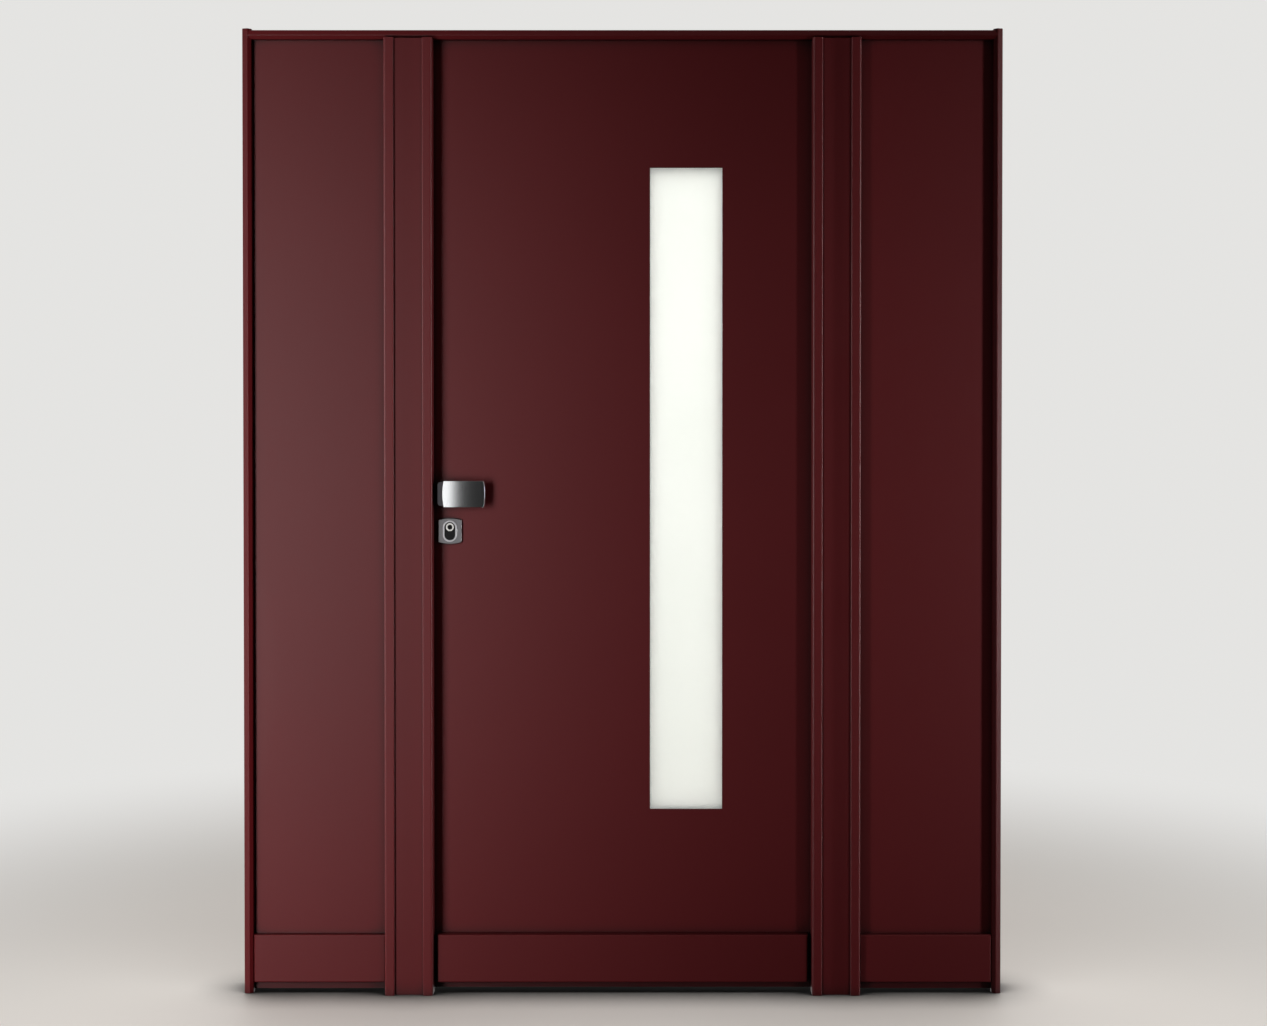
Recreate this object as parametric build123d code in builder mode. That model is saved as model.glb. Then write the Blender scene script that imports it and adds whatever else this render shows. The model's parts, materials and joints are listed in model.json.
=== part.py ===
"""Steel security door set: a hinged leaf between two pilaster mullions, with a fixed panel on each side.

X runs to the right as seen from outside, Y runs from the outside to the inside, Z is up, in millimetres.
The origin is the middle of the foot of the hinge post, on the floor.
"""

import os

from build123d import *

# Frame: overall sizes
FRAME_HEIGHT = 2150.0
DOORWAY_WIDTH = 844.0
SIDE_OPENING = 296.0
BOTTOM_GAP = 6.0

# Posts: structural tubes that carry the leaf and the panels
POST_SIDE = 68.0
POST_WALL = 3.0
POST_CORNER = 4.0
FOOT_PLATE = 4.0

# Pilaster covers: pressed boxes in front of the posts, with a raised bead down each edge
COVER_WIDTH = 107.0
COVER_DEPTH = 38.0
COVER_WALL = 1.5
BEAD_WIDTH = 22.0
BEAD_HEIGHT = 8.0
BEAD_ROUND = 5.0
BEAD_INNER_ROUND = 3.0

# Jambs and head: stepped hollow sections, a ridged face in front and a thinner web behind it
JAMB_FACE = 20.0
JAMB_WEB = 10.0
JAMB_SETBACK = 17.0
HEAD_FACE = 20.0
HEAD_WEB = 8.0
HEAD_DROP = 3.0
RIDGE_INSET = 12.0
RIDGE_OUTER_FALL = 4.0
RIDGE_INNER_FALL = 7.0
RIDGE_ROUND = 3.0
SECTION_WALL = 1.5

# Leaf and panels: folded trays closed at the back by a flat sheet
SKIN = 1.5
HINGE_GAP = 5.0
LOCK_GAP = 11.0
HEAD_GAP = 5.0
STOP_GAP = 9.0
PANEL_FIT = 0.5

# Kick boxes across the foot of the leaf and the panels
KICK_BOTTOM = 23.0
KICK_HEIGHT = 107.0
KICK_SETBACK = 5.0
KICK_SIDE_GAP = 8.0
PANEL_KICK_GAP = 1.0
KICK_ROUND = 3.0

# Rubber seals on the stop faces
SEAL_WIDTH = 8.0
SEAL_THICK = 4.0
SEAL_ROUND = 1.5

# Vision glass
GLASS_VIEW_WIDTH = 162.0
GLASS_VIEW_HEIGHT = 1438.0
GLASS_SILL = 407.0
GLASS_MARGIN = 213.0
GLASS_THICK = 24.0
GLASS_BITE = 14.0
GASKET_THICK = 2.0
SLEEVE_WALL = 3.0
SLEEVE_FIT = 0.3
BEZEL_WIDTH = 22.0
BEZEL_THICK = 3.0
BEZEL_ROUND = 1.5

# Lock cylinder and its plates
LOCK_HEIGHT = 1041.0
LOCK_BACKSET = 44.0
CYLINDER_RADIUS = 8.5
CYLINDER_DROP = 24.5
CYLINDER_LOBE = 10.0
CYLINDER_FIT = 0.2
CYLINDER_STAND = 8.0
NOSE_RADIUS = 9.8
NOSE_EDGE = 1.0
PLUG_RADIUS = 5.6
PLUG_DEPTH = 30.0
PLUG_RECESS = 1.5
PLUG_CLEARANCE = 0.1
KEYWAY_WIDTH = 3.0
KEYWAY_HEIGHT = 9.0
KEYWAY_DEPTH = 24.0
PLATE_WIDTH = 52.0
PLATE_HEIGHT = 50.0
PLATE_CROWN = 4.0
PLATE_THICK = 7.0
PLATE_CORNER = 3.0
PLATE_EDGE = 1.2
PLATE_DROP = 9.0
GUARD_WIDTH = 24.0
GUARD_HEIGHT = 40.5
GUARD_THICK = 6.0
RING_WIDTH = 4.2
RING_HEIGHT = 2.5
RING_EDGE = 0.9

# Pull: a bowed plate that stands off the leaf on a block
PULL_RISE = 75.0
PULL_SIDE_GAP = 10.0
PULL_BASE_WIDTH = 43.0
PULL_BASE_HEIGHT = 53.0
PULL_BASE_ROUND = 7.0
PULL_STAND = 34.0
PULL_OVERHANG = 11.0
PULL_WIDTH = 95.0
PULL_HEIGHT = 59.0
PULL_THICK = 6.0
PULL_BOW = 4.0
PULL_END_BOW = 3.0
PULL_EDGE = 0.8
PULL_FIT = 0.1

# Inside lever and its rose
LEVER_NECK_RADIUS = 9.0
LEVER_STAND = 34.0
LEVER_LENGTH = 126.0
LEVER_HEIGHT = 22.0
LEVER_THICK = 10.0
LEVER_ROUND = 3.0
LEVER_CORNER = 8.0

# Lock edge: faceplate, latch and round bolts, drawn back
FACEPLATE_WIDTH = 24.0
FACEPLATE_HEIGHT = 260.0
FACEPLATE_THICK = 2.0
FACEPLATE_DROP = 30.0
FACEPLATE_CORNER = 4.0
BOLT_RADIUS = 9.0
BOLT_PITCH = 36.0
BOLT_COUNT = 3
BOLT_DROP = 60.0
BOLT_LENGTH = 30.0
BOLT_FIT = 0.3
BOLT_EDGE = 1.0
BOLT_CARRIER = 6.0
LATCH_WIDTH = 14.0
LATCH_HEIGHT = 26.0
LATCH_RISE = 75.0
KEEP_CLEARANCE = 3.0

# Hinges: two-part barrels on the inside, the lower part on the post and the upper part on the leaf
HINGE_INSET = 240.0
KNUCKLE_RADIUS = 10.0
KNUCKLE_LENGTH = 70.0
KNUCKLE_STAND = 0.5
KNUCKLE_GAP = 0.4
KNUCKLE_ROUND = 3.0
HINGE_PIN_RADIUS = 6.0
HINGE_PIN_LENGTH = 56.0
HINGE_PIN_CLEARANCE = 0.1
HINGE_PIN_END_GAP = 1.0
WING_WIDTH = 52.0
WING_THICK = 4.0

# Planes across the depth of the door
BACK_Y = POST_SIDE / 2
STOP_Y = -POST_SIDE / 2
COVER_FRONT_Y = STOP_Y - COVER_DEPTH
JAMB_FRONT_Y = COVER_FRONT_Y + JAMB_SETBACK
KICK_FRONT_Y = JAMB_FRONT_Y + KICK_SETBACK
LEAF_FRONT_Y = STOP_Y + STOP_GAP
LID_FRONT_Y = BACK_Y - SKIN
GASKET_FRONT_Y = LEAF_FRONT_Y + SKIN
GLASS_FRONT_Y = GASKET_FRONT_Y + GASKET_THICK
GLASS_BACK_Y = GLASS_FRONT_Y + GLASS_THICK
LOCK_EDGE_Y = (LEAF_FRONT_Y + BACK_Y) / 2
CYLINDER_LENGTH = BACK_Y - LEAF_FRONT_Y + CYLINDER_STAND

# Places across the width of the door
HINGE_POST_X = 0.0
LOCK_POST_X = HINGE_POST_X - DOORWAY_WIDTH - COVER_WIDTH
DOORWAY_RIGHT_X = HINGE_POST_X - COVER_WIDTH / 2
DOORWAY_LEFT_X = LOCK_POST_X + COVER_WIDTH / 2
JAMB_REACH = COVER_WIDTH / 2 + SIDE_OPENING + JAMB_FACE
RIGHT_X = HINGE_POST_X + JAMB_REACH
LEFT_X = LOCK_POST_X - JAMB_REACH
LEAF_RIGHT_X = HINGE_POST_X - POST_SIDE / 2 - HINGE_GAP
LEAF_LEFT_X = LOCK_POST_X + POST_SIDE / 2 + LOCK_GAP
LEAF_WIDTH = LEAF_RIGHT_X - LEAF_LEFT_X
LEAF_CENTRE_X = (LEAF_RIGHT_X + LEAF_LEFT_X) / 2
LOCK_X = LEAF_LEFT_X + LOCK_BACKSET
GLASS_X = LEAF_RIGHT_X - GLASS_MARGIN - GLASS_VIEW_WIDTH / 2

# Heights
HEAD_TOP = FRAME_HEIGHT - HEAD_DROP
COVER_TOP = HEAD_TOP - HEAD_FACE
POST_TOP = HEAD_TOP - HEAD_WEB
LEAF_TOP = POST_TOP - HEAD_GAP
PANEL_TOP = POST_TOP - PANEL_FIT
LEAF_HEIGHT = LEAF_TOP - BOTTOM_GAP
LEAF_CENTRE_Z = (LEAF_TOP + BOTTOM_GAP) / 2
GLASS_Z = GLASS_SILL + GLASS_VIEW_HEIGHT / 2
KICK_Z = KICK_BOTTOM + KICK_HEIGHT / 2
PULL_Z = LOCK_HEIGHT + PULL_RISE
SLEEVE_WIDTH = GLASS_VIEW_WIDTH + 2 * SLEEVE_WALL
SLEEVE_HEIGHT = GLASS_VIEW_HEIGHT + 2 * SLEEVE_WALL

# Hinge axis, behind the gap between the leaf and the hinge post
HINGE_X = LEAF_RIGHT_X + HINGE_GAP / 2
HINGE_Y = BACK_Y + KNUCKLE_RADIUS + KNUCKLE_STAND
HINGE_HEIGHTS = {
    "lower": BOTTOM_GAP + HINGE_INSET,
    "middle": LEAF_CENTRE_Z,
    "upper": LEAF_TOP - HINGE_INSET,
}


def facing_out(x, y, z):
    """Plane that faces the viewer outside: its own X is the door's X and its own Y is up."""
    return Plane(origin=(x, y, z), x_dir=(1, 0, 0), z_dir=(0, -1, 0))


def facing_in(x, y, z):
    """Plane that faces the room inside: its own X is the door's -X and its own Y is up."""
    return Plane(origin=(x, y, z), x_dir=(-1, 0, 0), z_dir=(0, 1, 0))


def save(builder, label):
    """Labels a finished piece and writes its file."""
    builder.part.label = label
    export_step(builder.part, f"parts/{label}.step")


def bolt_places():
    """Centres of the bolts below the lock axis, on the lock edge."""
    return [(0, -BOLT_DROP - number * BOLT_PITCH) for number in range(BOLT_COUNT)]


def lock_edge_holes(bolt_radius, latch_gap):
    """Outline of the bolt and latch holes on the lock edge, about the lock axis."""
    with BuildSketch() as holes:
        with Locations(*bolt_places()):
            Circle(bolt_radius)
        with Locations((0, LATCH_RISE)):
            Rectangle(LATCH_WIDTH + 2 * latch_gap, LATCH_HEIGHT + 2 * latch_gap)
    return holes.sketch


def cylinder_profile(clearance):
    """Key-shaped profile of the lock cylinder, grown by a clearance."""
    lobe = CYLINDER_LOBE + 2 * clearance
    lobe_length = CYLINDER_DROP + clearance - lobe / 2
    with BuildSketch() as profile:
        Circle(CYLINDER_RADIUS + clearance)
        with Locations((0, -lobe_length / 2)):
            Rectangle(lobe, lobe_length)
        with Locations((0, -lobe_length)):
            Circle(lobe / 2)
    return profile.sketch


def plate_outline():
    """Outline of the lock plates: straight sides, crowned top and bottom, rounded corners."""
    half_width = PLATE_WIDTH / 2
    half_height = PLATE_HEIGHT / 2
    crown = half_height + PLATE_CROWN
    with BuildSketch() as outline:
        with BuildLine():
            Line((-half_width, -half_height), (-half_width, half_height))
            ThreePointArc((-half_width, half_height), (0, crown), (half_width, half_height))
            Line((half_width, half_height), (half_width, -half_height))
            ThreePointArc((half_width, -half_height), (0, -crown), (-half_width, -half_height))
        make_face()
        fillet(outline.vertices(), PLATE_CORNER)
    return outline.sketch


def post_tube(x):
    """Square tube with rounded corners, closed at the floor by a foot plate."""
    inner_side = POST_SIDE - 2 * POST_WALL
    with BuildPart() as tube:
        with BuildSketch(Plane(origin=(x, 0, 0))):
            RectangleRounded(POST_SIDE, POST_SIDE, POST_CORNER)
        extrude(amount=POST_TOP)
        with BuildSketch(Plane(origin=(x, 0, FOOT_PLATE))):
            Rectangle(inner_side, inner_side)
        extrude(amount=POST_TOP - FOOT_PLATE, mode=Mode.SUBTRACT)
    return tube


def cover_outline():
    """Outline of a pilaster cover: a recessed strip between two rounded beads, and a flat stop behind."""
    half = COVER_WIDTH / 2
    bead_inner = half - BEAD_WIDTH
    strip_y = COVER_FRONT_Y + BEAD_HEIGHT
    with BuildSketch() as outline:
        with BuildLine():
            Polyline(
                (0, strip_y),
                (bead_inner, strip_y),
                (bead_inner, COVER_FRONT_Y),
                (half, COVER_FRONT_Y),
                (half, STOP_Y),
                (0, STOP_Y),
            )
            mirror(about=Plane.YZ)
        make_face()
        front_corners = outline.vertices().group_by(Axis.Y)[0].sort_by(Axis.X)
        fillet((front_corners[0], front_corners[-1]), BEAD_ROUND)
        bead_corners = outline.vertices().group_by(Axis.Y)[0].sort_by(Axis.X)
        fillet(bead_corners[1:-1], BEAD_INNER_ROUND)
    return outline.sketch


def make_cover(label, x):
    """Hollow pressed pilaster that stands on a foot plate and is closed at the top."""
    with BuildPart() as cover:
        with BuildSketch(Plane(origin=(x, 0, 0))):
            add(cover_outline())
        extrude(amount=COVER_TOP)
        with BuildSketch(Plane(origin=(x, 0, FOOT_PLATE))):
            add(cover_outline())
            offset(amount=-COVER_WALL, kind=Kind.INTERSECTION, mode=Mode.REPLACE)
        extrude(amount=COVER_TOP - FOOT_PLATE - COVER_WALL, mode=Mode.SUBTRACT)
    save(cover, label)


def jamb_outline(inward):
    """Outline of a jamb, from its outer edge: a ridged face, then a step to the web beside the panel."""
    with BuildSketch() as outline:
        with BuildLine():
            Polyline(
                (0, JAMB_FRONT_Y + RIDGE_OUTER_FALL),
                (inward * RIDGE_INSET, JAMB_FRONT_Y),
                (inward * JAMB_FACE, JAMB_FRONT_Y + RIDGE_INNER_FALL),
                (inward * JAMB_FACE, STOP_Y),
                (inward * JAMB_WEB, STOP_Y),
                (inward * JAMB_WEB, BACK_Y),
                (0, BACK_Y),
                close=True,
            )
        make_face()
        fillet(outline.vertices().sort_by(Axis.Y)[0:3], RIDGE_ROUND)
    return outline.sketch


def make_jamb(label, outer_x, inward):
    """Hollow side member that stands on a foot plate and is closed at the top."""
    with BuildPart() as jamb:
        with BuildSketch(Plane(origin=(outer_x, 0, 0))):
            add(jamb_outline(inward))
        extrude(amount=FRAME_HEIGHT)
        with BuildSketch(Plane(origin=(outer_x, 0, FOOT_PLATE))):
            add(jamb_outline(inward))
            offset(amount=-SECTION_WALL, kind=Kind.INTERSECTION, mode=Mode.REPLACE)
        extrude(amount=FRAME_HEIGHT - FOOT_PLATE - SECTION_WALL, mode=Mode.SUBTRACT)
    save(jamb, label)


def make_panel(side, post_side_x, web_x):
    """Fixed side panel: a folded outer tray and the flat sheet that closes it inside."""
    width = abs(web_x - post_side_x) - 2 * PANEL_FIT
    height = PANEL_TOP - BOTTOM_GAP
    middle_x = (post_side_x + web_x) / 2
    middle_z = (PANEL_TOP + BOTTOM_GAP) / 2
    with BuildPart() as tray:
        with BuildSketch(facing_out(middle_x, STOP_Y, middle_z)):
            Rectangle(width, height)
        extrude(amount=STOP_Y - BACK_Y)
        offset(amount=-SKIN, openings=tray.faces().sort_by(Axis.Y)[-1], kind=Kind.INTERSECTION)
    save(tray, f"{side}_panel_outer_skin")
    with BuildPart() as sheet:
        with BuildSketch(facing_out(middle_x, LID_FRONT_Y, middle_z)):
            Rectangle(width - 2 * SKIN, height - 2 * SKIN)
        extrude(amount=-SKIN)
    save(sheet, f"{side}_panel_inner_skin")


def make_kick_box(label, left_x, right_x, back_y):
    """Folded box across the foot of a panel, open at the back against it, with rounded front edges."""
    with BuildPart() as box:
        with BuildSketch(facing_out((left_x + right_x) / 2, back_y, KICK_Z)):
            Rectangle(right_x - left_x, KICK_HEIGHT)
        extrude(amount=back_y - KICK_FRONT_Y)
        fillet(box.faces().sort_by(Axis.Y)[0].edges(), KICK_ROUND)
        offset(amount=-SKIN, openings=box.faces().sort_by(Axis.Y)[-1])
    save(box, label)


def make_stop_seal(label, x):
    """Rubber strip down the back of a cover, beside the doorway."""
    with BuildPart() as seal:
        with BuildSketch(Plane(origin=(x, STOP_Y + SEAL_THICK / 2, BOTTOM_GAP))):
            Rectangle(SEAL_WIDTH, SEAL_THICK)
        extrude(amount=COVER_TOP - BOTTOM_GAP - SEAL_WIDTH)
        fillet(seal.edges().filter_by(Axis.Z).group_by(Axis.Y)[-1], SEAL_ROUND)
    save(seal, label)


def make_post_knuckle(label, z):
    """Lower hinge barrel with its pin and the wing that is welded to the post."""
    with BuildPart() as knuckle:
        with BuildSketch(Plane(origin=(HINGE_X, HINGE_Y, z - KNUCKLE_LENGTH))):
            Circle(KNUCKLE_RADIUS)
        extrude(amount=KNUCKLE_LENGTH - KNUCKLE_GAP)
        fillet(knuckle.edges().group_by(Axis.Z)[0], KNUCKLE_ROUND)
        with BuildSketch(Plane(origin=(HINGE_X, HINGE_Y, z - KNUCKLE_GAP))):
            Circle(HINGE_PIN_RADIUS)
        extrude(amount=HINGE_PIN_LENGTH)
        with BuildSketch(Plane(origin=(-POST_SIDE / 2, BACK_Y, z - KNUCKLE_LENGTH + KNUCKLE_ROUND))):
            Rectangle(WING_WIDTH, WING_THICK, align=Align.MIN)
        extrude(amount=KNUCKLE_LENGTH - KNUCKLE_ROUND - KNUCKLE_GAP)
    save(knuckle, label)


def make_leaf_knuckle(label, z):
    """Upper hinge barrel, bored for the pin, and the wing that is welded to the leaf."""
    with BuildPart() as knuckle:
        with BuildSketch(Plane(origin=(HINGE_X, HINGE_Y, z))):
            Circle(KNUCKLE_RADIUS)
        extrude(amount=KNUCKLE_LENGTH)
        fillet(knuckle.edges().group_by(Axis.Z)[-1], KNUCKLE_ROUND)
        with BuildSketch(Plane(origin=(LEAF_RIGHT_X, BACK_Y, z))):
            Rectangle(WING_WIDTH, WING_THICK, align=(Align.MAX, Align.MIN))
        extrude(amount=KNUCKLE_LENGTH - KNUCKLE_ROUND)
        with BuildSketch(Plane(origin=(HINGE_X, HINGE_Y, z))):
            Circle(HINGE_PIN_RADIUS + HINGE_PIN_CLEARANCE)
        extrude(amount=HINGE_PIN_LENGTH + HINGE_PIN_END_GAP, mode=Mode.SUBTRACT)
    save(knuckle, label)


os.makedirs("parts", exist_ok=True)

# Posts and pilaster covers
hinge_post = post_tube(HINGE_POST_X)
save(hinge_post, "hinge_post")

with BuildPart() as lock_post:
    add(post_tube(LOCK_POST_X).part)
    with BuildSketch(Plane((LOCK_POST_X + POST_SIDE / 2, LOCK_EDGE_Y, LOCK_HEIGHT), (0, 1, 0), (1, 0, 0))):
        add(lock_edge_holes(BOLT_RADIUS + KEEP_CLEARANCE, KEEP_CLEARANCE))
    extrude(amount=-POST_WALL, mode=Mode.SUBTRACT)
save(lock_post, "lock_post")

make_cover("hinge_side_cover", HINGE_POST_X)
make_cover("lock_side_cover", LOCK_POST_X)

# Jambs and head
make_jamb("left_jamb", LEFT_X, 1)
make_jamb("right_jamb", RIGHT_X, -1)

with BuildPart() as head_rail:
    with BuildSketch(Plane.YZ.offset(LEFT_X + JAMB_WEB)) as head_section:
        with BuildLine():
            Polyline(
                (JAMB_FRONT_Y + RIDGE_OUTER_FALL, HEAD_TOP),
                (JAMB_FRONT_Y, HEAD_TOP - RIDGE_INSET),
                (JAMB_FRONT_Y + RIDGE_INNER_FALL, COVER_TOP),
                (STOP_Y, COVER_TOP),
                (STOP_Y, POST_TOP),
                (BACK_Y, POST_TOP),
                (BACK_Y, HEAD_TOP),
                close=True,
            )
        make_face()
        fillet(head_section.vertices().sort_by(Axis.X)[0:3], RIDGE_ROUND)
        offset(amount=-SECTION_WALL, kind=Kind.INTERSECTION, mode=Mode.SUBTRACT)
    extrude(amount=RIGHT_X - LEFT_X - 2 * JAMB_WEB)
    for end_x, align in ((LEFT_X, Align.MIN), (RIGHT_X, Align.MAX)):
        with Locations((end_x, JAMB_FRONT_Y, COVER_TOP)):
            Box(
                RIDGE_INSET,
                STOP_Y - JAMB_FRONT_Y,
                HEAD_FACE,
                align=(align, Align.MIN, Align.MIN),
                mode=Mode.SUBTRACT,
            )
    for jamb_x, inward in ((LEFT_X, 1), (RIGHT_X, -1)):
        with BuildSketch(Plane(origin=(jamb_x, 0, 0))):
            add(jamb_outline(inward))
        extrude(amount=FRAME_HEIGHT, mode=Mode.SUBTRACT)
save(head_rail, "head_rail")

# Side panels and their kick boxes
make_panel("right", HINGE_POST_X + POST_SIDE / 2, RIGHT_X - JAMB_WEB)
make_panel("left", LOCK_POST_X - POST_SIDE / 2, LEFT_X + JAMB_WEB)
make_kick_box(
    "right_kick_box",
    HINGE_POST_X + COVER_WIDTH / 2 + PANEL_KICK_GAP,
    RIGHT_X - JAMB_FACE - PANEL_KICK_GAP,
    STOP_Y,
)
make_kick_box(
    "left_kick_box",
    LEFT_X + JAMB_FACE + PANEL_KICK_GAP,
    LOCK_POST_X - COVER_WIDTH / 2 - PANEL_KICK_GAP,
    STOP_Y,
)

# Seals on the stop faces round the doorway
make_stop_seal("hinge_side_seal", DOORWAY_RIGHT_X + SEAL_WIDTH / 2)
make_stop_seal("lock_side_seal", DOORWAY_LEFT_X - SEAL_WIDTH / 2)

with BuildPart() as head_seal:
    with BuildSketch(Plane.YZ.offset(DOORWAY_LEFT_X)):
        with Locations((STOP_Y + SEAL_THICK / 2, COVER_TOP + SEAL_WIDTH / 2)):
            Rectangle(SEAL_THICK, SEAL_WIDTH)
    extrude(amount=DOORWAY_WIDTH)
    fillet(head_seal.edges().filter_by(Axis.X).group_by(Axis.Y)[-1], SEAL_ROUND)
save(head_seal, "head_seal")

# Leaf skins
with BuildPart() as leaf_outer_skin:
    with BuildSketch(facing_out(LEAF_CENTRE_X, LEAF_FRONT_Y, LEAF_CENTRE_Z)):
        Rectangle(LEAF_WIDTH, LEAF_HEIGHT)
    extrude(amount=LEAF_FRONT_Y - BACK_Y)
    offset(amount=-SKIN, openings=leaf_outer_skin.faces().sort_by(Axis.Y)[-1], kind=Kind.INTERSECTION)
    with BuildSketch(facing_out(GLASS_X, LEAF_FRONT_Y, GLASS_Z)):
        Rectangle(GLASS_VIEW_WIDTH, GLASS_VIEW_HEIGHT)
    extrude(amount=-SKIN, mode=Mode.SUBTRACT)
    with BuildSketch(facing_out(LOCK_X, LEAF_FRONT_Y, LOCK_HEIGHT)):
        add(cylinder_profile(CYLINDER_FIT))
    extrude(amount=-SKIN, mode=Mode.SUBTRACT)
    with BuildSketch(Plane((LEAF_LEFT_X, LOCK_EDGE_Y, LOCK_HEIGHT), (0, 1, 0), (1, 0, 0))):
        add(lock_edge_holes(BOLT_RADIUS + BOLT_FIT, BOLT_FIT))
    extrude(amount=SKIN, mode=Mode.SUBTRACT)
save(leaf_outer_skin, "leaf_outer_skin")

with BuildPart() as leaf_inner_skin:
    with BuildSketch(facing_out(LEAF_CENTRE_X, LID_FRONT_Y, LEAF_CENTRE_Z)):
        Rectangle(LEAF_WIDTH - 2 * SKIN, LEAF_HEIGHT - 2 * SKIN)
    extrude(amount=-SKIN)
    with BuildSketch(facing_out(GLASS_X, LID_FRONT_Y, GLASS_Z)):
        Rectangle(SLEEVE_WIDTH + 2 * SLEEVE_FIT, SLEEVE_HEIGHT + 2 * SLEEVE_FIT)
    extrude(amount=-SKIN, mode=Mode.SUBTRACT)
    with BuildSketch(facing_out(LOCK_X, LID_FRONT_Y, LOCK_HEIGHT)):
        add(cylinder_profile(CYLINDER_FIT))
    extrude(amount=-SKIN, mode=Mode.SUBTRACT)
save(leaf_inner_skin, "leaf_inner_skin")

make_kick_box("leaf_kick_box", DOORWAY_LEFT_X + KICK_SIDE_GAP, DOORWAY_RIGHT_X - KICK_SIDE_GAP, LEAF_FRONT_Y)

# Vision glass, its gasket and the frame that holds it from inside
with BuildPart() as glass_gasket:
    with BuildSketch(facing_out(GLASS_X, GASKET_FRONT_Y, GLASS_Z)):
        Rectangle(GLASS_VIEW_WIDTH + 2 * GLASS_BITE, GLASS_VIEW_HEIGHT + 2 * GLASS_BITE)
        Rectangle(GLASS_VIEW_WIDTH, GLASS_VIEW_HEIGHT, mode=Mode.SUBTRACT)
    extrude(amount=-GASKET_THICK)
save(glass_gasket, "glass_gasket")

with BuildPart() as vision_glass:
    with BuildSketch(facing_out(GLASS_X, GLASS_FRONT_Y, GLASS_Z)):
        Rectangle(GLASS_VIEW_WIDTH + 2 * GLASS_BITE, GLASS_VIEW_HEIGHT + 2 * GLASS_BITE)
    extrude(amount=-GLASS_THICK)
save(vision_glass, "vision_glass")

with BuildPart() as glazing_frame:
    with BuildSketch(facing_out(GLASS_X, GLASS_BACK_Y, GLASS_Z)):
        Rectangle(SLEEVE_WIDTH, SLEEVE_HEIGHT)
    extrude(amount=GLASS_BACK_Y - BACK_Y)
    with BuildSketch(facing_out(GLASS_X, BACK_Y, GLASS_Z)):
        Rectangle(GLASS_VIEW_WIDTH + 2 * BEZEL_WIDTH, GLASS_VIEW_HEIGHT + 2 * BEZEL_WIDTH)
    extrude(amount=-BEZEL_THICK)
    fillet(glazing_frame.faces().sort_by(Axis.Y)[-1].edges(), BEZEL_ROUND)
    with BuildSketch(facing_out(GLASS_X, GLASS_BACK_Y, GLASS_Z)):
        Rectangle(GLASS_VIEW_WIDTH, GLASS_VIEW_HEIGHT)
    extrude(amount=GLASS_BACK_Y - BACK_Y - BEZEL_THICK, mode=Mode.SUBTRACT)
save(glazing_frame, "glazing_frame")

# Lock edge
lock_edge = Plane((LEAF_LEFT_X, LOCK_EDGE_Y, LOCK_HEIGHT), (0, -1, 0), (-1, 0, 0))
with BuildPart() as lock_faceplate:
    with BuildSketch(lock_edge):
        with Locations((0, -FACEPLATE_DROP)):
            RectangleRounded(FACEPLATE_WIDTH, FACEPLATE_HEIGHT, FACEPLATE_CORNER)
        add(lock_edge_holes(BOLT_RADIUS + BOLT_FIT, BOLT_FIT), mode=Mode.SUBTRACT)
    extrude(amount=FACEPLATE_THICK)
save(lock_faceplate, "lock_faceplate")

with BuildPart() as lock_bolts:
    with BuildSketch(lock_edge.offset(FACEPLATE_THICK)):
        with Locations(*bolt_places()):
            Circle(BOLT_RADIUS)
    extrude(amount=-BOLT_LENGTH)
    chamfer(lock_bolts.faces().group_by(Axis.X)[0].edges(), BOLT_EDGE)
    with BuildSketch(lock_edge.offset(FACEPLATE_THICK - BOLT_LENGTH)):
        with Locations((0, -BOLT_DROP - BOLT_PITCH * (BOLT_COUNT - 1) / 2)):
            Rectangle(BOLT_RADIUS, BOLT_PITCH * (BOLT_COUNT - 1))
    extrude(amount=BOLT_CARRIER)
save(lock_bolts, "lock_bolts")

with BuildPart() as latch_bolt:
    with BuildSketch(lock_edge.offset(FACEPLATE_THICK)):
        with Locations((0, LATCH_RISE)):
            Rectangle(LATCH_WIDTH, LATCH_HEIGHT)
    extrude(amount=-BOLT_LENGTH)
save(latch_bolt, "latch_bolt")

# Lock cylinder, its turning plug and the plates round it
with BuildPart() as lock_cylinder:
    with BuildSketch(facing_out(LOCK_X, LEAF_FRONT_Y, LOCK_HEIGHT)):
        Circle(NOSE_RADIUS)
    extrude(amount=CYLINDER_STAND)
    chamfer(lock_cylinder.faces().sort_by(Axis.Y)[0].edges(), NOSE_EDGE)
    with BuildSketch(facing_out(LOCK_X, LEAF_FRONT_Y, LOCK_HEIGHT)):
        add(cylinder_profile(0))
    extrude(amount=-CYLINDER_LENGTH)
    with BuildSketch(facing_out(LOCK_X, LEAF_FRONT_Y - CYLINDER_STAND, LOCK_HEIGHT)):
        Circle(PLUG_RADIUS + PLUG_CLEARANCE)
    extrude(amount=-PLUG_DEPTH - PLUG_CLEARANCE, mode=Mode.SUBTRACT)
save(lock_cylinder, "lock_cylinder")

with BuildPart() as cylinder_plug:
    with BuildSketch(facing_out(LOCK_X, LEAF_FRONT_Y - CYLINDER_STAND + PLUG_RECESS, LOCK_HEIGHT)):
        Circle(PLUG_RADIUS)
    extrude(amount=-PLUG_DEPTH + PLUG_RECESS)
    with BuildSketch(facing_out(LOCK_X, LEAF_FRONT_Y - CYLINDER_STAND + PLUG_RECESS, LOCK_HEIGHT)):
        Rectangle(KEYWAY_WIDTH, KEYWAY_HEIGHT)
    extrude(amount=-KEYWAY_DEPTH, mode=Mode.SUBTRACT)
save(cylinder_plug, "cylinder_plug")

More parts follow.
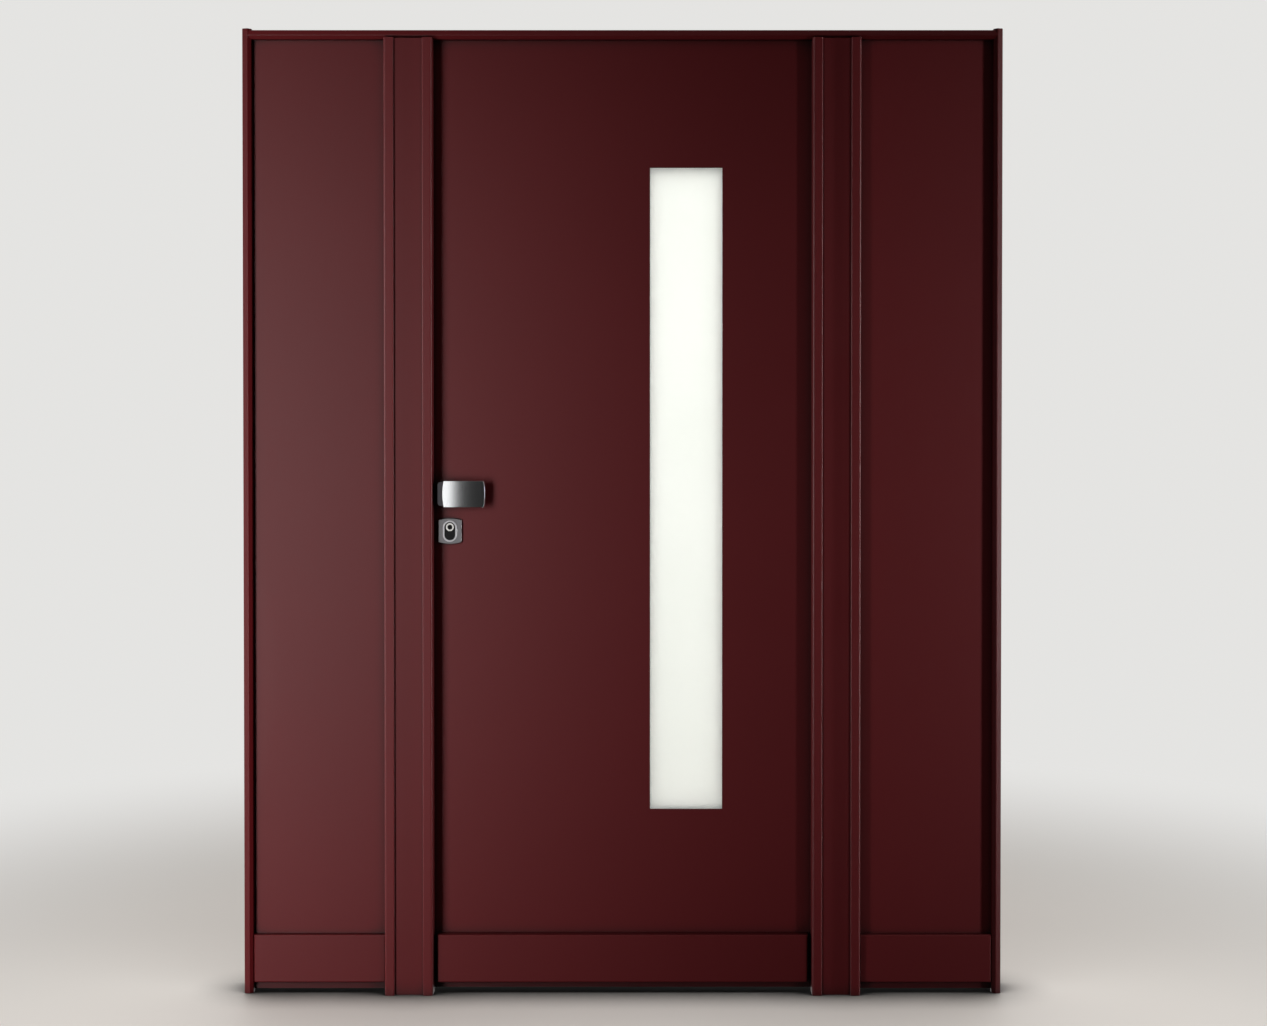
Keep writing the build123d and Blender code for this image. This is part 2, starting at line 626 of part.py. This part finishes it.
with BuildPart() as cylinder_guard:
    with BuildSketch(facing_out(LOCK_X, LEAF_FRONT_Y, LOCK_HEIGHT)):
        with Locations((0, -PLATE_DROP)):
            SlotOverall(GUARD_HEIGHT, GUARD_WIDTH, rotation=90)
        Circle(NOSE_RADIUS + CYLINDER_FIT, mode=Mode.SUBTRACT)
    extrude(amount=GUARD_THICK)
save(cylinder_guard, "cylinder_guard")

with BuildPart() as outer_escutcheon:
    with BuildSketch(facing_out(LOCK_X, LEAF_FRONT_Y, LOCK_HEIGHT - PLATE_DROP)):
        add(plate_outline())
    extrude(amount=PLATE_THICK)
    fillet(outer_escutcheon.faces().sort_by(Axis.Y)[0].edges(), PLATE_EDGE)
    with BuildSketch(facing_out(LOCK_X, LEAF_FRONT_Y - PLATE_THICK, LOCK_HEIGHT - PLATE_DROP)):
        SlotOverall(GUARD_HEIGHT + 2 * RING_WIDTH, GUARD_WIDTH + 2 * RING_WIDTH, rotation=90)
    extrude(amount=RING_HEIGHT)
    fillet(outer_escutcheon.faces().sort_by(Axis.Y)[0].edges(), RING_EDGE)
    with BuildSketch(facing_out(LOCK_X, LEAF_FRONT_Y, LOCK_HEIGHT - PLATE_DROP)):
        SlotOverall(GUARD_HEIGHT + 2 * CYLINDER_FIT, GUARD_WIDTH + 2 * CYLINDER_FIT, rotation=90)
    extrude(amount=PLATE_THICK + RING_HEIGHT, mode=Mode.SUBTRACT)
save(outer_escutcheon, "outer_escutcheon")

with BuildPart() as inner_escutcheon:
    with BuildSketch(facing_in(LOCK_X, BACK_Y, LOCK_HEIGHT - PLATE_DROP)):
        add(plate_outline())
    extrude(amount=PLATE_THICK)
    fillet(inner_escutcheon.faces().sort_by(Axis.Y)[-1].edges(), PLATE_EDGE)
    with BuildSketch(facing_in(LOCK_X, BACK_Y, LOCK_HEIGHT)):
        add(cylinder_profile(CYLINDER_FIT))
    extrude(amount=PLATE_THICK, mode=Mode.SUBTRACT)
save(inner_escutcheon, "inner_escutcheon")

# Pull: the bowed plate and the block that carries it
PULL_BOW_RADIUS = (PULL_WIDTH**2 / 4 + PULL_BOW**2) / (2 * PULL_BOW)
PULL_FRONT_Y = LEAF_FRONT_Y - PULL_STAND - PULL_THICK
PULL_BOW_CENTRE_Y = PULL_FRONT_Y + PULL_BOW_RADIUS
PULL_BASE_LEFT_X = DOORWAY_LEFT_X + PULL_SIDE_GAP
PULL_X = PULL_BASE_LEFT_X + PULL_OVERHANG + PULL_WIDTH / 2

with BuildPart() as pull_plate:
    with BuildSketch(Plane(origin=(PULL_X, PULL_BOW_CENTRE_Y, PULL_Z - PULL_HEIGHT / 2))):
        Circle(PULL_BOW_RADIUS)
        Circle(PULL_BOW_RADIUS - PULL_THICK, mode=Mode.SUBTRACT)
        with Locations((0, -PULL_BOW_RADIUS)):
            Rectangle(PULL_WIDTH, PULL_BOW_RADIUS, mode=Mode.INTERSECT)
    extrude(amount=PULL_HEIGHT)
    with BuildSketch(facing_out(PULL_X, LEAF_FRONT_Y, PULL_Z)):
        half_width = PULL_WIDTH / 2
        half_height = PULL_HEIGHT / 2
        corner = half_width - PULL_END_BOW
        with BuildLine():
            Line((-corner, half_height), (corner, half_height))
            ThreePointArc((corner, half_height), (half_width, 0), (corner, -half_height))
            Line((corner, -half_height), (-corner, -half_height))
            ThreePointArc((-corner, -half_height), (-half_width, 0), (-corner, half_height))
        make_face()
    extrude(amount=PULL_STAND + 2 * PULL_THICK, mode=Mode.INTERSECT)
    fillet(pull_plate.faces().sort_by(Axis.Y)[0].edges(), PULL_EDGE)
save(pull_plate, "pull_plate")

with BuildPart() as pull_base:
    with BuildSketch(Plane(origin=(PULL_X, PULL_BOW_CENTRE_Y, PULL_Z - PULL_BASE_HEIGHT / 2))):
        Circle(PULL_BOW_RADIUS - PULL_THICK - PULL_FIT)
        with Locations((PULL_BASE_LEFT_X - PULL_X, LEAF_FRONT_Y - PULL_BOW_CENTRE_Y)):
            Rectangle(PULL_BASE_WIDTH, PULL_STAND, align=(Align.MIN, Align.MAX), mode=Mode.INTERSECT)
    extrude(amount=PULL_BASE_HEIGHT)
    fillet(pull_base.edges().filter_by(Axis.Y).group_by(Axis.X)[0], PULL_BASE_ROUND)
save(pull_base, "pull_base")

# Inside lever and its rose
with BuildPart() as lever_rose:
    with BuildSketch(facing_in(LOCK_X, BACK_Y, PULL_Z)):
        add(plate_outline())
    extrude(amount=PLATE_THICK)
    fillet(lever_rose.faces().sort_by(Axis.Y)[-1].edges(), PLATE_EDGE)
save(lever_rose, "lever_rose")

with BuildPart() as inner_lever:
    with BuildSketch(facing_in(LOCK_X, BACK_Y + PLATE_THICK + LEVER_STAND, PULL_Z)):
        with Locations((LEVER_HEIGHT / 2, 0)):
            RectangleRounded(LEVER_LENGTH, LEVER_HEIGHT, LEVER_CORNER, align=(Align.MAX, Align.CENTER))
    extrude(amount=LEVER_THICK)
    fillet(inner_lever.faces().sort_by(Axis.Y)[-1].edges(), LEVER_ROUND)
    with BuildSketch(facing_in(LOCK_X, BACK_Y + PLATE_THICK, PULL_Z)):
        Circle(LEVER_NECK_RADIUS)
    extrude(amount=LEVER_STAND)
save(inner_lever, "inner_lever")

# Hinges
for place, height in HINGE_HEIGHTS.items():
    make_post_knuckle(f"{place}_hinge_post_knuckle", height)
    make_leaf_knuckle(f"{place}_hinge_leaf_knuckle", height)
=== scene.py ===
"""Looks of the steel security door: a material for each CAD piece, then floor, light and camera."""
import json
import math

import bpy
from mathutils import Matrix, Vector


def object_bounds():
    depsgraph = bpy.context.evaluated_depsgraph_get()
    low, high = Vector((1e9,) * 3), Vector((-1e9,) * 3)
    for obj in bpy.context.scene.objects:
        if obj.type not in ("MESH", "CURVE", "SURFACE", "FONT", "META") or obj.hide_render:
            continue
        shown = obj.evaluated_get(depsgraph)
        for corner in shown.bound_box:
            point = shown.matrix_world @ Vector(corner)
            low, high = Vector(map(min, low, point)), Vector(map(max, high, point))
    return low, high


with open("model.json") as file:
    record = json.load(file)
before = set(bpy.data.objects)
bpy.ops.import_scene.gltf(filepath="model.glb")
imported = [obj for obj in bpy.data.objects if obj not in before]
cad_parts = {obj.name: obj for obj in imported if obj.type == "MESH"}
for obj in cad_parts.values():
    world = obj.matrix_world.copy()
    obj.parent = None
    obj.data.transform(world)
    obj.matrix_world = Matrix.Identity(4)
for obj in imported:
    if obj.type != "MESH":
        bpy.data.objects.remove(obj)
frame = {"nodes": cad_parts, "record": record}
cad_low, cad_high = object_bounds()
nodes = frame["nodes"]
slots = {piece["node"]: piece["material_slot"] for piece in frame["record"]["subparts"]}
scene = bpy.context.scene
MIDDLE_X = (cad_low[0] + cad_high[0]) / 2

# Noise values that give the dark and the light end of a texture
NOISE_LOW = 0.3
NOISE_HIGH = 0.7

# Paint, glass and floor tones, linear
PAINT_DARK = (0.109, 0.0057, 0.0077)
PAINT_LIGHT = (0.115, 0.0061, 0.0082)
GLASS_DARK = (0.93, 0.95, 0.91)
GLASS_LIGHT = (0.96, 0.975, 0.94)
FLOOR_DARK = (0.66, 0.62, 0.58)
FLOOR_LIGHT = (0.70, 0.66, 0.62)
BACKDROP = (0.78, 0.775, 0.76, 1.0)

# Metals: tones, roughness range, stretch of the grain on each axis, grain scale and relief
METALS = {
    "polished_chrome": dict(
        dark=(0.66, 0.67, 0.68), light=(0.72, 0.73, 0.74),
        roughness=(0.25, 0.265), stretch=(1, 1, 8), scale=160, relief=0.01,
    ),
    "satin_nickel": dict(
        dark=(0.30, 0.295, 0.305), light=(0.36, 0.355, 0.365),
        roughness=(0.36, 0.44), stretch=(1, 1, 12), scale=260, relief=0.05, brighter_ring=True,
    ),
    "dark_nickel": dict(
        dark=(0.060, 0.057, 0.063), light=(0.085, 0.081, 0.088),
        roughness=(0.30, 0.42), stretch=(1, 1, 12), scale=260, relief=0.05,
    ),
    "bright_nickel": dict(
        dark=(0.56, 0.55, 0.52), light=(0.66, 0.65, 0.62),
        roughness=(0.16, 0.28), stretch=(1, 8, 1), scale=300, relief=0.04,
    ),
    # On the cylinder plug, the dark tone of dark_steel is in part painted shade for the plug's recess.
    "dark_steel": dict(
        dark=(0.035, 0.035, 0.036), light=(0.055, 0.055, 0.056),
        roughness=(0.30, 0.45), stretch=(8, 1, 1), scale=300, relief=0.05,
    ),
}

# Matt black finishes: tones, roughness range, grain scale and relief
BLACKS = {
    "black_rubber": dict(
        dark=(0.010, 0.010, 0.010), light=(0.018, 0.018, 0.018),
        roughness=(0.70, 0.85), scale=400, relief=0.10,
    ),
    "black_guard": dict(
        dark=(0.006, 0.006, 0.007), light=(0.010, 0.010, 0.011),
        roughness=(0.40, 0.55), scale=500, relief=0.05,
    ),
}

# The ring on the lock plate: its tone gets brighter from the plate's face to the ring's front
PLATE_FACE_Y = -0.0321
RING_FACE_Y = -0.0330
RING_GAIN = 2.7

# Floor: it fades into the backdrop with distance, so no horizon shows from any side
FLOOR_SIZE = 60.0
FLOOR_DROP = 0.0005
FADE_START = 1.0
FADE_END = 3.2

# World light: the direction it is strongest from, and the share of facing over which it rises
WORLD_AIM = (0.0, 0.8, 0.6)
WORLD_RISE_START = 0.20
WORLD_RISE_END = 0.90
WORLD_FRONT = 0.02
WORLD_BACK = 1.25
WORLD_TINT = (1.0, 0.99, 0.97, 1.0)

# Camera: straight on, a little right of the middle, tipped down slightly
CAMERA_PLACE = (-0.451, -4.272, 1.27)
CAMERA_PITCH = math.radians(0.75)
SENSOR_WIDTH_MM = 36.0
LENS_MM = 53.85
LENS_SHIFT_Y = -0.05


class Graph:
    """Short way to make a node material around one principled shader."""

    def __init__(self, name):
        self.material = bpy.data.materials.new(name)
        self.material.use_nodes = True
        self.tree = self.material.node_tree
        self.tree.nodes.clear()
        self.out = self.add("ShaderNodeOutputMaterial")
        self.shader = self.add("ShaderNodeBsdfPrincipled")
        self.link(self.shader, "BSDF", self.out, "Surface")
        self.coord = self.add("ShaderNodeTexCoord")

    def add(self, kind, **values):
        """Adds a node and sets its properties."""
        node = self.tree.nodes.new(kind)
        for key, value in values.items():
            setattr(node, key, value)
        return node

    def link(self, source, output, target, socket):
        """Links an output to a socket."""
        self.tree.links.new(source.outputs[output], target.inputs[socket])

    def set(self, **values):
        """Sets constants on the shader's own sockets."""
        for key, value in values.items():
            self.shader.inputs[key.replace("_", " ")].default_value = value

    def noise(self, scale, detail=2.0, roughness=0.5, stretch=None):
        """Noise texture over object coordinates, stretched by a factor on each axis."""
        noise = self.add("ShaderNodeTexNoise")
        noise.inputs["Scale"].default_value = scale
        noise.inputs["Detail"].default_value = detail
        noise.inputs["Roughness"].default_value = roughness
        if stretch:
            mapping = self.add("ShaderNodeMapping")
            mapping.inputs["Scale"].default_value = stretch
            self.link(self.coord, "Object", mapping, "Vector")
            self.link(mapping, "Vector", noise, "Vector")
        else:
            self.link(self.coord, "Object", noise, "Vector")
        return noise

    def tones(self, noise, dark, light):
        """Colour ramp from a dark to a light tone, fed by a noise texture."""
        ramp = self.add("ShaderNodeValToRGB")
        ends = ((NOISE_LOW, dark), (NOISE_HIGH, light))
        for element, (place, colour) in zip(ramp.color_ramp.elements, ends):
            element.position = place
            element.color = (*colour, 1.0)
        self.link(noise, "Fac", ramp, "Fac")
        return ramp

    def remap(self, source, output, low, high, start=NOISE_LOW, end=NOISE_HIGH):
        """Maps a value that goes from start to end onto the range from low to high."""
        remap = self.add("ShaderNodeMapRange")
        remap.inputs["From Min"].default_value = start
        remap.inputs["From Max"].default_value = end
        remap.inputs["To Min"].default_value = low
        remap.inputs["To Max"].default_value = high
        self.link(source, output, remap, "Value")
        return remap

    def scaled(self, tone, factor):
        """Multiplies a ramp's colour by a remapped value."""
        scaled = self.add("ShaderNodeVectorMath", operation="SCALE")
        self.link(tone, "Color", scaled, 0)
        self.link(factor, "Result", scaled, "Scale")
        return scaled

    def painted_shade(self, tone, reach, closed_share, open_share):
        """Paints shade into a ramp in corners and gaps, from ambient occlusion: black below the closed
        share, full above the open share.
        """
        corner = self.add("ShaderNodeAmbientOcclusion", samples=8)
        corner.inputs["Distance"].default_value = reach
        light = self.remap(corner, "AO", 0.0, 1.0, closed_share, open_share)
        return self.scaled(tone, light)

    def roughness(self, noise, low, high):
        """Lets the shader's roughness follow a noise texture."""
        rough = self.remap(noise, "Fac", low, high)
        self.link(rough, "Result", self.shader, "Roughness")

    def bump(self, noise, strength, distance):
        """Fine relief from a noise texture."""
        bump = self.add("ShaderNodeBump")
        bump.inputs["Strength"].default_value = strength
        bump.inputs["Distance"].default_value = distance
        self.link(noise, "Fac", bump, "Height")
        self.link(bump, "Normal", self.shader, "Normal")


def wine_red_paint():
    """Satin powder coat: deep wine red, faint cloudiness, painted shade in corners and gaps, and fine
    orange peel.
    """
    g = Graph("wine_red_paint")
    clouds = g.noise(scale=2.2, detail=3.0, roughness=0.55)
    tone = g.tones(clouds, PAINT_DARK, PAINT_LIGHT)
    # Painted shade: the red darkens in corners, beside the beads and under the kick boxes.
    shade = g.painted_shade(tone, reach=0.045, closed_share=0.18, open_share=0.80)
    g.link(shade, "Vector", g.shader, "Base Color")
    sheen = g.noise(scale=38.0, detail=3.0, roughness=0.6)
    g.roughness(sheen, low=0.47, high=0.50)
    peel = g.noise(scale=650.0)
    g.bump(peel, strength=0.08, distance=0.0005)
    g.set(IOR=1.5)
    return g.material


def frosted_glass():
    """White acid-etched pane: light from behind comes through, with a faint glow of its own."""
    g = Graph("frosted_glass")
    haze = g.noise(scale=3.0)
    tone = g.tones(haze, GLASS_DARK, GLASS_LIGHT)
    g.link(tone, "Color", g.shader, "Base Color")
    g.link(tone, "Color", g.shader, "Emission Color")
    grain = g.noise(scale=1400.0, roughness=0.6)
    g.roughness(grain, low=0.85, high=0.95)
    g.bump(grain, strength=0.05, distance=0.0003)
    g.set(Transmission_Weight=0.85, IOR=1.45, Emission_Strength=0.085)
    return g.material


def metal(name, dark, light, roughness, stretch, scale, relief, brighter_ring=False):
    """Drawn or brushed metal: grain stretched along one axis in colour, gloss and relief.

    With the ring option, what stands proud of the lock plate's face is brighter.
    """
    g = Graph(name)
    grain = g.noise(scale, detail=4.0, roughness=0.6, stretch=stretch)
    tone = g.tones(grain, dark, light)
    if brighter_ring:
        place = g.add("ShaderNodeSeparateXYZ")
        g.link(g.coord, "Object", place, "Vector")
        gain = g.remap(place, "Y", 1.0, RING_GAIN, PLATE_FACE_Y, RING_FACE_Y)
        brightened = g.scaled(tone, gain)
        g.link(brightened, "Vector", g.shader, "Base Color")
    else:
        g.link(tone, "Color", g.shader, "Base Color")
    g.roughness(grain, *roughness)
    g.bump(grain, relief, distance=0.0002)
    g.set(Metallic=1.0)
    return g.material


def matt_black(name, dark, light, roughness, scale, relief):
    """Rubber or matt black finish with a fine grain."""
    g = Graph(name)
    grain = g.noise(scale, detail=3.0, roughness=0.6)
    tone = g.tones(grain, dark, light)
    g.link(tone, "Color", g.shader, "Base Color")
    g.roughness(grain, *roughness)
    g.bump(grain, relief, distance=0.0003)
    return g.material


def studio_floor():
    """Pale matt floor with a painted contact shadow near the door, taking the backdrop's tone with
    distance.
    """
    g = Graph("studio_floor")
    clouds = g.noise(scale=0.8, detail=3.0)
    tone = g.tones(clouds, FLOOR_DARK, FLOOR_LIGHT)
    # Painted shadow: the floor darkens where it meets the door.
    shade = g.painted_shade(tone, reach=0.13, closed_share=0.42, open_share=0.98)
    g.link(shade, "Vector", g.shader, "Base Color")
    g.roughness(clouds, low=0.55, high=0.65)
    reach = g.add("ShaderNodeVectorMath", operation="LENGTH")
    g.link(g.coord, "Object", reach, 0)
    fade = g.remap(reach, "Value", 0.0, 1.0, FADE_START, FADE_END)
    fade.interpolation_type = "SMOOTHSTEP"
    glow = g.add("ShaderNodeEmission")
    glow.inputs["Color"].default_value = BACKDROP
    mix = g.add("ShaderNodeMixShader")
    g.link(fade, "Result", mix, "Fac")
    g.link(g.shader, "BSDF", mix, 1)
    g.link(glow, "Emission", mix, 2)
    g.link(mix, "Shader", g.out, "Surface")
    return g.material


def studio_world():
    """Plain pale backdrop; its light is strong from above and behind and weak from the front."""
    world = bpy.data.worlds.new("studio")
    world.use_nodes = True
    tree = world.node_tree
    tree.nodes.clear()
    out = tree.nodes.new("ShaderNodeOutputWorld")
    coord = tree.nodes.new("ShaderNodeTexCoord")
    facing = tree.nodes.new("ShaderNodeVectorMath")
    facing.operation = "DOT_PRODUCT"
    facing.inputs[1].default_value = WORLD_AIM
    tree.links.new(coord.outputs["Generated"], facing.inputs[0])
    rise = tree.nodes.new("ShaderNodeMapRange")
    rise.interpolation_type = "SMOOTHSTEP"
    rise.inputs["From Min"].default_value = WORLD_RISE_START
    rise.inputs["From Max"].default_value = WORLD_RISE_END
    rise.inputs["To Min"].default_value = WORLD_FRONT
    rise.inputs["To Max"].default_value = WORLD_BACK
    tree.links.new(facing.outputs["Value"], rise.inputs["Value"])
    light = tree.nodes.new("ShaderNodeBackground")
    light.inputs["Color"].default_value = WORLD_TINT
    tree.links.new(rise.outputs["Result"], light.inputs["Strength"])
    backdrop = tree.nodes.new("ShaderNodeBackground")
    backdrop.inputs["Color"].default_value = BACKDROP
    path = tree.nodes.new("ShaderNodeLightPath")
    mix = tree.nodes.new("ShaderNodeMixShader")
    tree.links.new(path.outputs["Is Camera Ray"], mix.inputs["Fac"])
    tree.links.new(light.outputs["Background"], mix.inputs[1])
    tree.links.new(backdrop.outputs["Background"], mix.inputs[2])
    tree.links.new(mix.outputs["Shader"], out.inputs["Surface"])
    return world


def pieces(belongs):
    """CAD objects whose name passes a test."""
    return [node for name, node in nodes.items() if belongs(name)]


def group(name, members):
    """Collection that tells a light which objects it reaches."""
    collection = bpy.data.collections.new(name)
    for member in members:
        collection.objects.link(member)
    return collection


def area(name, place, target, size, power, spread, receivers, sheen=1.0):
    """Soft box that points at a target and reaches one group; only the sheen share of it shows as gloss."""
    for label, share, gloss in ((name, 1.0 - sheen, False), (name + "_sheen", sheen, True)):
        if share == 0.0:
            continue
        data = bpy.data.lights.new(label, "AREA")
        data.shape = "RECTANGLE"
        data.size, data.size_y = size
        data.energy = power * share
        data.spread = math.radians(spread)
        light = bpy.data.objects.new(label, data)
        light.location = place
        light.rotation_euler = (Vector(target) - Vector(place)).to_track_quat("-Z", "Y").to_euler()
        light.light_linking.receiver_collection = receivers
        light.visible_glossy = gloss
        scene.collection.objects.link(light)


# Materials, where the hinges are painted like the frame
paint = wine_red_paint()
materials = {"wine_red_paint": paint, "hinge_steel": paint, "frosted_glass": frosted_glass()}
for slot, look in METALS.items():
    materials[slot] = metal(slot, **look)
for slot, look in BLACKS.items():
    materials[slot] = matt_black(slot, **look)
for name, node in nodes.items():
    node.data.materials.clear()
    node.data.materials.append(materials[slots[name]])

# Floor and world
bpy.ops.mesh.primitive_plane_add(size=FLOOR_SIZE, location=(MIDDLE_X, 0.0, -FLOOR_DROP))
floor = bpy.context.object
floor.name = "studio_floor"
floor.data.materials.append(studio_floor())
floor.visible_diffuse = False
floor.visible_glossy = False
scene.world = studio_world()
scene.view_settings.view_transform = "Standard"

# Groups of pieces that share a light: the guard of the lock is lit with the metals
METAL_SLOTS = (*METALS, "black_guard")
LOCK_PIECES = ("outer_escutcheon", "lock_cylinder", "cylinder_plug", "cylinder_guard")
metals = group("metals", pieces(lambda name: slots[name] in METAL_SLOTS))
lock = group("lock", [nodes[name] for name in LOCK_PIECES])
painted = group("painted", pieces(lambda name: slots[name] not in METAL_SLOTS))
side = group("side", pieces(lambda name: name.startswith("right_")))
middle = group("middle", pieces(lambda name: not name.startswith(("left_", "right_"))))
trim = group("trim", pieces(lambda name: name.endswith("cover") or slots[name] in METAL_SLOTS))
ground = group("ground", [floor])

# Main light, from the left: paint, glass and rubber
area(
    "key", place=(-2.60, -3.00, 0.88), target=(-2.40, 0.0, 0.74),
    size=(1.2, 2.3), power=57.0, spread=87.0, receivers=painted, sheen=0.58,
)
# Metal fittings, from the front, and the lock once more
area(
    "plate", place=(-2.20, -3.00, 1.10), target=(-0.85, 0.0, 1.08),
    size=(1.1, 1.2), power=3.5, spread=120.0, receivers=metals,
)
area(
    "lock", place=(-1.15, -3.00, 1.00), target=(-0.86, 0.0, 1.04),
    size=(0.8, 1.0), power=1.3, spread=120.0, receivers=lock,
)
# Weaker light from the right: leaf, mullions and head first, then the right panel and jamb
area(
    "fill", place=(1.28, -1.86, 1.00), target=(0.20, 0.0, 1.10),
    size=(0.2, 2.2), power=3.0, spread=75.0, receivers=middle, sheen=0.3,
)
area(
    "side_fill", place=(2.05, -1.25, 1.00), target=(0.20, 0.0, 1.08),
    size=(0.2, 2.4), power=11.0, spread=90.0, receivers=side, sheen=0.75,
)
# Grazing light from both sides: thin lines along the edges of the mullions' beads
area(
    "rim_left", place=(-4.20, -0.62, 1.10), target=(-0.90, -0.07, 1.10),
    size=(0.3, 2.4), power=11.0, spread=70.0, receivers=trim,
)
area(
    "rim_right", place=(3.20, -0.62, 1.10), target=(0.0, -0.07, 1.10),
    size=(0.3, 2.4), power=12.0, spread=70.0, receivers=trim,
)
# Floor in front of the door
area(
    "top", place=(MIDDLE_X, -0.70, 3.6), target=(MIDDLE_X, -0.70, 0.0),
    size=(3.4, 0.8), power=16.0, spread=60.0, receivers=ground,
)

# Camera
camera_data = bpy.data.cameras.new("camera")
camera_data.sensor_width = SENSOR_WIDTH_MM
camera_data.lens = LENS_MM
camera_data.shift_y = LENS_SHIFT_Y
camera = bpy.data.objects.new("camera", camera_data)
camera.location = CAMERA_PLACE
camera.rotation_euler = (math.pi / 2 - CAMERA_PITCH, 0.0, 0.0)
scene.collection.objects.link(camera)
scene.camera = camera
